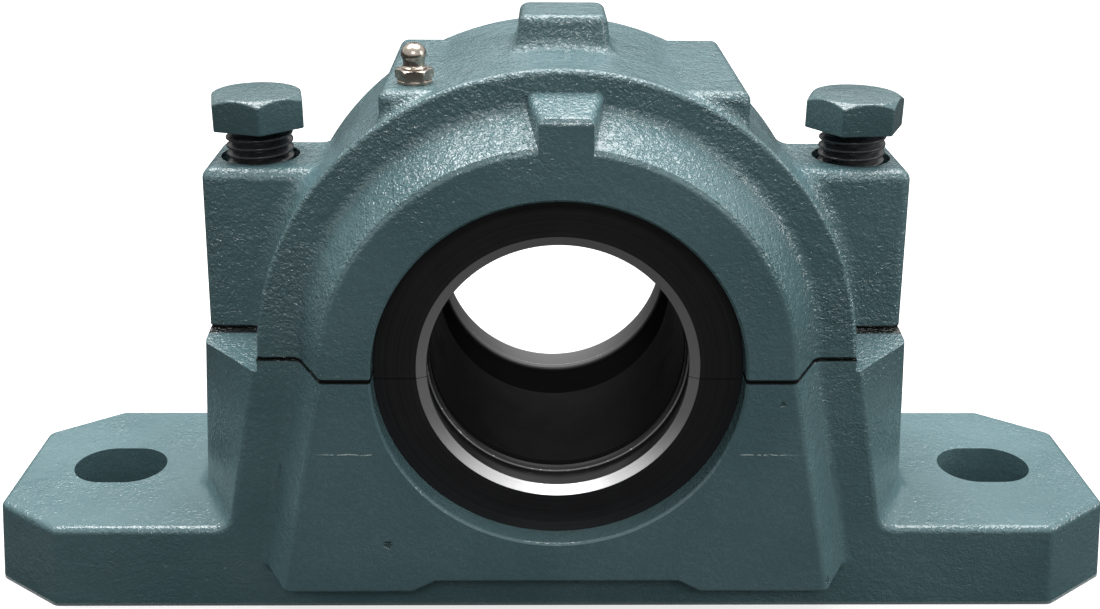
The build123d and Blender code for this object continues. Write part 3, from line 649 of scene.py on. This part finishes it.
def seal_material(inside):
    """Black moulded rubber with turning rings, and painted highlights made as bright metal on the
    lip's chamfer and on its inner edge, with a faint painted sheen on the back seal's bore.

    The two highlights are where the radius and the distance along the shaft lie in their own
    bands, and the chamfer's painted highlight is brightest at its lowest point, which faces the
    light from above.
    """
    material, tree, shader, place = new_material("moulded_seal")
    body, worn = tuple(inside.seal_colour), scaled(inside.seal_colour, 1.8)
    marks = use_group(tree, turning_group(), place=place, axis_height=SHAFT_HEIGHT, feed=0.0007,
                      depth=0.000012)
    touch = use_group(tree, handling_group(), place=place)
    parts = node(tree, "ShaderNodeSeparateXYZ", None, vector=place).outputs
    up = calc(tree, "SUBTRACT", parts[2], SHAFT_HEIGHT)
    radius = axis_radius(tree, parts[0], up)
    along = calc(tree, "ABSOLUTE", parts[1])
    # Painted highlight: the chamfer is made bright metal, strongest at the bottom where it mirrors the
    # light from above.
    chamfer = overlap(tree,
                      short_of(tree, radius, inside.chamfer_radius, 0.00005),
                      beyond(tree, along, inside.chamfer_start, 0.00003),
                      fade(tree, up, -0.033, -0.010, 1.0, 0.22))
    # Painted highlight: a thin stippled line of bright metal along the lip's inner edge.
    edge = overlap(tree,
                   beyond(tree, along, inside.land_edge - inside.land_highlight_width / 2, 0.00005),
                   short_of(tree, along, inside.land_edge + inside.land_highlight_width / 2, 0.00005),
                   short_of(tree, radius, 0.0309, 0.0001),
                   fade(tree, touch["Speck"], 0.0, 0.6, 0.35, 1.0))
    # Painted sheen: a faint band of bright metal on the back seal's bore.
    back_lip_sheen = calc(tree, "MULTIPLY", beyond(tree, parts[1], 0.0273, 0.0003),
                    fade(tree, radius, 0.0303, 0.0305, 0.12, 0.0))
    # The three painted highlights together, used as metallic and as a light tint.
    bright = calc(tree, "MAXIMUM", calc(tree, "MAXIMUM", chamfer, edge), back_lip_sheen)
    tint = blend_colour(tree, fade(tree, marks["Tone"], 0.35, 0.65), body, worn)
    tint = blend_colour(tree, calc(tree, "MULTIPLY", touch["Speck"], 0.2), tint, worn)
    # Light greys of the painted highlights.
    dim_highlight_grey, bright_highlight_grey = (0.70, 0.70, 0.71), (0.84, 0.84, 0.83)
    tint = blend_colour(tree, bright, tint,
                        blend_colour(tree, fade(tree, marks["Tone"], 0.3, 0.7), dim_highlight_grey, bright_highlight_grey))
    rough = fade(tree, bright, 0.0, 1.0, 0.30, 0.24)
    rough = calc(tree, "ADD", rough, calc(tree, "MULTIPLY", touch["Smear"], 0.06))
    finish_shader(tree, shader, marks["Height"], base_color=tint, roughness=rough, metallic=bright,
                  specular_ior_level=0.4)
    return material


def grained_material(name, body, worn, metallic, roughness, grain, depth, **more):
    """Plated, blackened or moulded surface with a fine even grain and smears."""
    material, tree, shader, place = new_material(name)
    touch = use_group(tree, handling_group(), place=place, smear_size=grain * 9.0, speck_size=grain * 1.4)
    fine = noise(tree, place, grain, 2.0)
    tint = blend_colour(tree, touch["Smear"], body, worn)
    tint = blend_colour(tree, calc(tree, "MULTIPLY", touch["Speck"], 0.4), tint, worn)
    rough = fade(tree, touch["Smear"], 0.0, 1.0, roughness * 0.8, roughness * 1.25)
    finish_shader(tree, shader, calc(tree, "MULTIPLY", fine, depth), base_color=tint, roughness=rough,
                  metallic=metallic, **more)
    return material


def dress(names, material):
    """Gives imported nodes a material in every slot."""
    for name in names:
        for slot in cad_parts[name].material_slots:
            slot.material = material


def scaled(values, factor):
    """Colour made lighter or darker by a factor."""
    return tuple(min(value * factor, 1.0) for value in values)


# ---------------------------------------------------------------- operators

class PLUMMER_OT_castings(Operator):
    """Paint the base and the cap"""
    bl_idname = "plummer.castings"
    bl_label = "Paint Castings"

    def execute(self, context):
        paint = context.scene.plummer_paint
        skin = enamel("casting_enamel", paint, tuple(paint.body_colour), tuple(paint.deep_colour),
                      peel_share=1.0, sand_share=1.0, pit_share=1.0, casting=True)
        dress(("base", "cap"), skin)
        return {"FINISHED"}


class PLUMMER_OT_cap_bolts(Operator):
    """Build the two cap bolts with painted heads and black threads"""
    bl_idname = "plummer.cap_bolts"
    bl_label = "Build Cap Bolts"

    def execute(self, context):
        sizes = context.scene.plummer_bolts
        paint = context.scene.plummer_paint
        head_paint = enamel("bolt_enamel", paint, tuple(sizes.head_colour),
                            scaled(sizes.head_colour, 0.8), peel_share=0.45, sand_share=0.35,
                            pit_share=0.6)
        black = grained_material("oiled_black", tuple(sizes.thread_colour),
                                 scaled(sizes.thread_colour, 2.2), metallic=0.0, roughness=0.34,
                                 grain=0.0009, depth=0.00003)
        underside = BOLT_TOP - sizes.head_height
        for side, turn in (("left", sizes.turn_left), ("right", sizes.turn_right)):
            middle_x = middle(f"cap_bolt_{side}").x
            head = new_piece(f"bolt_head_{side}",
                             *bolt_head(sizes, turn, (middle_x, 0.0, underside)), [head_paint])
            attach(head, f"bolt_{side}")
            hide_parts(f"cap_bolt_{side}")
            inside_head = underside + 1.0 * MM
            thread = new_piece(f"bolt_thread_{side}",
                               *bolt_thread(sizes, BOLT_TIP, inside_head, (middle_x, 0.0, 0.0)), [black])
            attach(thread, f"bolt_{side}")
        return {"FINISHED"}


class PLUMMER_OT_nipple(Operator):
    """Build the grease nipple and finish its ball and spring"""
    bl_idname = "plummer.nipple"
    bl_label = "Build Grease Nipple"

    def execute(self, context):
        sizes = context.scene.plummer_nipple
        plating = grained_material("nickel_plating", tuple(sizes.metal), scaled(sizes.metal, 0.55),
                                   metallic=1.0, roughness=0.24, grain=0.0007, depth=0.000012)
        seat = NIPPLE_TIP + sizes.thread_length
        place = (NIPPLE_PLACE.x, NIPPLE_PLACE.y, seat)
        shell = nipple_shell(sizes, -sizes.thread_length, NIPPLE_TOP - seat, place)
        body = new_piece("grease_nipple", *shell, [plating])
        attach(body, "housing")
        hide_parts("nipple_body")
        steel = context.scene.plummer_inside.steel_colour
        wire = grained_material("spring_steel", tuple(steel), scaled(steel, 0.6), metallic=1.0,
                                roughness=0.2, grain=0.0004, depth=0.000002)
        dress(("nipple_ball",), wire)
        self.spring(wire, sizes.ball_travel)
        return {"FINISHED"}

    def spring(self, wire, travel):
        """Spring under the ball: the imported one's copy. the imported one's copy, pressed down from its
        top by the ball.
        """
        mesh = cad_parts["nipple_spring"].data.copy()
        mesh.name = "check_spring"
        merge_doubles(mesh)
        mesh.materials.clear()
        mesh.materials.append(wire)
        spring = bpy.data.objects.new("check_spring", mesh)
        bpy.context.scene.collection.objects.link(spring)
        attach(spring, "housing")
        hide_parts("nipple_spring")
        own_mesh(spring)


class PLUMMER_OT_seals(Operator):
    """Finish the split seals at both ends"""
    bl_idname = "plummer.seals"
    bl_label = "Finish Seals"

    def execute(self, context):
        inside = context.scene.plummer_inside
        names = [f"seal_{end}_{half}" for end in ("front", "back") for half in ("lower", "upper")]
        dress(names, seal_material(inside))
        return {"FINISHED"}


class PLUMMER_OT_bearing(Operator):
    """Finish the bearing rings, balls, cage and locating rings"""
    bl_idname = "plummer.bearing"
    bl_label = "Finish Bearing"

    def execute(self, context):
        inside = context.scene.plummer_inside
        ground = turned_material("ground_steel", tuple(inside.bearing_colour),
                                 scaled(inside.bearing_colour, 0.85), metallic=1.0, roughness=0.16,
                                 feed_size=0.0003, depth=0.000003)
        turned = turned_material("turned_steel", tuple(inside.steel_colour),
                                 scaled(inside.steel_colour, 0.7), metallic=1.0, roughness=0.32,
                                 feed_size=0.0008, depth=0.00001)
        cage = grained_material("cage_polyamide", tuple(inside.cage_colour),
                                scaled(inside.cage_colour, 0.6), metallic=0.0, roughness=0.5,
                                grain=0.0008, depth=0.00002)
        polished = grained_material("ball_steel", tuple(inside.bearing_colour),
                                    scaled(inside.bearing_colour, 0.9), metallic=1.0, roughness=0.08,
                                    grain=0.0006, depth=0.000001)
        dress(("bearing_outer_ring", "bearing_inner_ring"), ground)
        dress(("locating_ring_front", "locating_ring_back"), turned)
        dress(("ball_row_front", "ball_row_back"), polished)
        dress(("ball_cage",), cage)
        return {"FINISHED"}


class PLUMMER_OT_sleeve(Operator):
    """Finish the adapter sleeve, lock nut, lock washer and dowel pins"""
    bl_idname = "plummer.sleeve"
    bl_label = "Finish Sleeve"

    def execute(self, context):
        inside = context.scene.plummer_inside
        oxide = turned_material("black_oxide", tuple(inside.oxide_colour),
                                scaled(inside.oxide_colour, 1.9), metallic=0.0, roughness=0.42,
                                feed_size=0.0009, depth=0.000015, specular_ior_level=0.03)
        steel = grained_material("pin_steel", tuple(inside.steel_colour),
                                 scaled(inside.steel_colour, 0.7), metallic=1.0, roughness=0.25,
                                 grain=0.0005, depth=0.000006)
        dress(("adapter_sleeve", "lock_nut", "lock_washer"), oxide)
        dress(("dowel_pin_left", "dowel_pin_right"), steel)
        return {"FINISHED"}


def aim(obj, place, target):
    """Puts a lamp at a place and turns it to face a target."""
    obj.location = place
    obj.rotation_mode = "QUATERNION"
    obj.rotation_quaternion = (Vector(target) - Vector(place)).to_track_quat("-Z", "Y")


def softbox(name, place, target, width, depth, power):
    """Oblong area lamp facing a target."""
    lamp = bpy.data.lights.new(name, "AREA")
    lamp.shape = "RECTANGLE"
    lamp.size, lamp.size_y = width, depth
    lamp.energy = power
    obj = bpy.data.objects.new(name, lamp)
    bpy.context.scene.collection.objects.link(obj)
    aim(obj, place, target)
    return obj


def seen_ray(tree):
    """One where the ray comes from the camera, a gloss or a glass, and nought for soft light."""
    path = tree.nodes.new("ShaderNodeLightPath").outputs
    seen = calc(tree, "MAXIMUM", path["Is Camera Ray"], path["Is Glossy Ray"])
    return calc(tree, "MAXIMUM", seen, path["Is Transmission Ray"])


def bare_material(name):
    """Material with no shader yet, and the socket of its surface."""
    material = bpy.data.materials.new(name)
    material.use_nodes = True
    tree = material.node_tree
    tree.nodes.clear()
    surface = tree.nodes.new("ShaderNodeOutputMaterial").inputs["Surface"]
    return material, tree, surface


def matt(tree, grey):
    """Plain matt shader of one grey."""
    return node(tree, "ShaderNodeBsdfDiffuse", None, color=(grey, grey, grey, 1.0)).outputs[0]


# Name, place, width, depth and power setting of each softbox.
SOFTBOXES = (
    ("key_softbox", (-0.50, 0.15, 1.10), 0.42, 0.42, "key_power"),
    ("top_softbox", (0.10, 0.35, 1.5), 1.5, 1.1, "top_power"),
    ("front_softbox", (0.0, -1.02, 0.73), 0.34, 0.16, "front_power"),
    ("side_softbox", (0.98, -0.15, 0.35), 0.30, 0.60, "side_power"),
)


class PLUMMER_OT_stage(Operator):
    """Lay the floor, set the lamps and the camera"""
    bl_idname = "plummer.stage"
    bl_label = "Set Stage"

    def execute(self, context):
        settings = context.scene.plummer_stage
        self.floor(settings)
        self.world(context.scene, settings.ambient)
        self.cloth(settings)
        for name, place, width, depth, power in SOFTBOXES:
            softbox(name, place, (0.0, 0.0, SHAFT_HEIGHT), width, depth, getattr(settings, power))
        self.camera(context.scene, settings)
        return {"FINISHED"}

    def floor(self, settings):
        """Flat floor: a grid of two by two quads at height nought.

        Where it is seen or mirrored it is pale and glows a little; soft light meets a duller grey.
        """
        line = np.linspace(-settings.floor_reach, settings.floor_reach, 3)
        x, y = np.meshgrid(line, line)
        vertices = np.stack([x, y, np.zeros_like(x)], axis=-1).reshape(-1, 3)
        index = np.arange(9).reshape(3, 3)
        faces = np.stack([index[:-1, :-1], index[:-1, 1:], index[1:, 1:], index[1:, :-1]], axis=-1)
        material, tree, surface = bare_material("pale_floor")
        glow = node(tree, "ShaderNodeEmission", None, color=(1.0, 1.0, 1.0, 1.0),
                    strength=settings.floor_glow)
        pale = tree.nodes.new("ShaderNodeAddShader")
        feed(tree, pale.inputs[0], matt(tree, settings.floor_pale))
        feed(tree, pale.inputs[1], glow.outputs[0])
        mixed = tree.nodes.new("ShaderNodeMixShader")
        feed(tree, mixed.inputs[0], seen_ray(tree))
        feed(tree, mixed.inputs[1], matt(tree, settings.floor_dull))
        feed(tree, mixed.inputs[2], pale.outputs[0])
        feed(tree, surface, mixed.outputs[0])
        new_piece("floor", vertices, faces.reshape(-1, 4).tolist(), [material])

    def cloth(self, settings):
        """Dark cloth round the object: flat from under its edge, then sloping up as a funnel.

        It keeps the pale floor from washing out the upright faces, casts no shadow and stays
        out of the camera's sight. Its back is higher, so that the highest faces mirror it.
        """
        corner = np.array([[-1, -1], [1, -1], [1, 1], [-1, 1]])
        flat = np.full((4, 1), settings.cloth_height)
        inner = np.hstack([corner * (0.090, 0.020), flat])
        edge = np.hstack([corner * (0.152, 0.052), flat])
        front, back = settings.cloth_front, settings.cloth_back
        rim = np.hstack([corner * (1.1, 1.0), [[front], [front], [back], [back]]])
        index = np.arange(4)
        ahead = np.roll(index, -1)
        faces = np.stack([index, index + 4, ahead + 4, ahead], axis=-1)
        faces = np.concatenate([faces, faces + 4])
        material, tree, surface = bare_material("dark_cloth")
        feed(tree, surface, matt(tree, 0.03))
        boards = new_piece("dark_boards", np.concatenate([inner, edge, rim]), faces.tolist(), [material])
        boards.visible_camera = False
        boards.visible_shadow = False

    def world(self, scene, ambient):
        """White where it is seen or mirrored, and a soft grey where it only lights."""
        world = bpy.data.worlds.new("studio")
        scene.world = world
        world.use_nodes = True
        tree = world.node_tree
        background = tree.nodes["Background"]
        strength = calc(tree, "ADD", ambient, calc(tree, "MULTIPLY", seen_ray(tree), 1.0 - ambient))
        background.inputs["Color"].default_value = (1.0, 1.0, 1.0, 1.0)
        feed(tree, background.inputs["Strength"], strength)

    def camera(self, scene, settings):
        """Camera turned by yaw, then pitch, then roll."""
        yaw, pitch, roll = settings.camera_yaw, settings.camera_pitch, settings.camera_roll
        ahead = Vector((np.sin(yaw) * np.cos(pitch), np.cos(yaw) * np.cos(pitch), -np.sin(pitch)))
        right = Vector((np.cos(yaw), -np.sin(yaw), 0.0))
        up = right.cross(ahead)
        rolled_right = right * np.cos(roll) + up * np.sin(roll)
        rolled_up = up * np.cos(roll) - right * np.sin(roll)
        axes = Matrix((rolled_right, rolled_up, -ahead)).transposed()
        data = bpy.data.cameras.new("camera")
        data.lens = settings.focal_length
        data.sensor_width = 36.0
        data.clip_start = 0.01
        obj = bpy.data.objects.new("camera", data)
        scene.collection.objects.link(obj)
        obj.rotation_mode = "QUATERNION"
        obj.rotation_quaternion = axes.to_quaternion()
        obj.location = settings.camera_place
        scene.camera = obj
        scene.view_settings.view_transform = "Standard"


PIECES = (PLUMMER_OT_castings, PLUMMER_OT_cap_bolts, PLUMMER_OT_nipple, PLUMMER_OT_seals,
          PLUMMER_OT_bearing, PLUMMER_OT_sleeve, PLUMMER_OT_stage)


class PLUMMER_PT_looks(Panel):
    """Sidebar list of the pieces and their settings"""
    bl_idname = "PLUMMER_PT_looks"
    bl_label = "Plummer Block"
    bl_space_type = "VIEW_3D"
    bl_region_type = "UI"
    bl_category = "Plummer Block"

    def draw(self, context):
        layout = self.layout
        for operator in PIECES:
            layout.operator(operator.bl_idname)
        for name in SETTINGS:
            box = layout.box()
            group = getattr(context.scene, name)
            for key in group.bl_rna.properties.keys():
                if key not in {"rna_type", "name"}:
                    box.prop(group, key)


SETTINGS = {
    "plummer_paint": PlummerPaint,
    "plummer_bolts": PlummerBolts,
    "plummer_nipple": PlummerNipple,
    "plummer_inside": PlummerInside,
    "plummer_stage": PlummerStage,
}


def register():
    """Registers the settings, operators and panel."""
    for name, group in SETTINGS.items():
        bpy.utils.register_class(group)
        setattr(bpy.types.Scene, name, PointerProperty(type=group))
    for kind in (*PIECES, PLUMMER_PT_looks):
        bpy.utils.register_class(kind)


def unregister():
    """Takes the settings, operators and panel away again."""
    for kind in (PLUMMER_PT_looks, *reversed(PIECES)):
        bpy.utils.unregister_class(kind)
    for name, group in reversed(SETTINGS.items()):
        delattr(bpy.types.Scene, name)
        bpy.utils.unregister_class(group)


def main():
    """Builds every piece."""
    register()
    bpy.ops.plummer.castings()
    bpy.ops.plummer.cap_bolts()
    bpy.ops.plummer.nipple()
    bpy.ops.plummer.seals()
    bpy.ops.plummer.bearing()
    bpy.ops.plummer.sleeve()
    bpy.ops.plummer.stage()


if __name__ == "__main__":
    main()
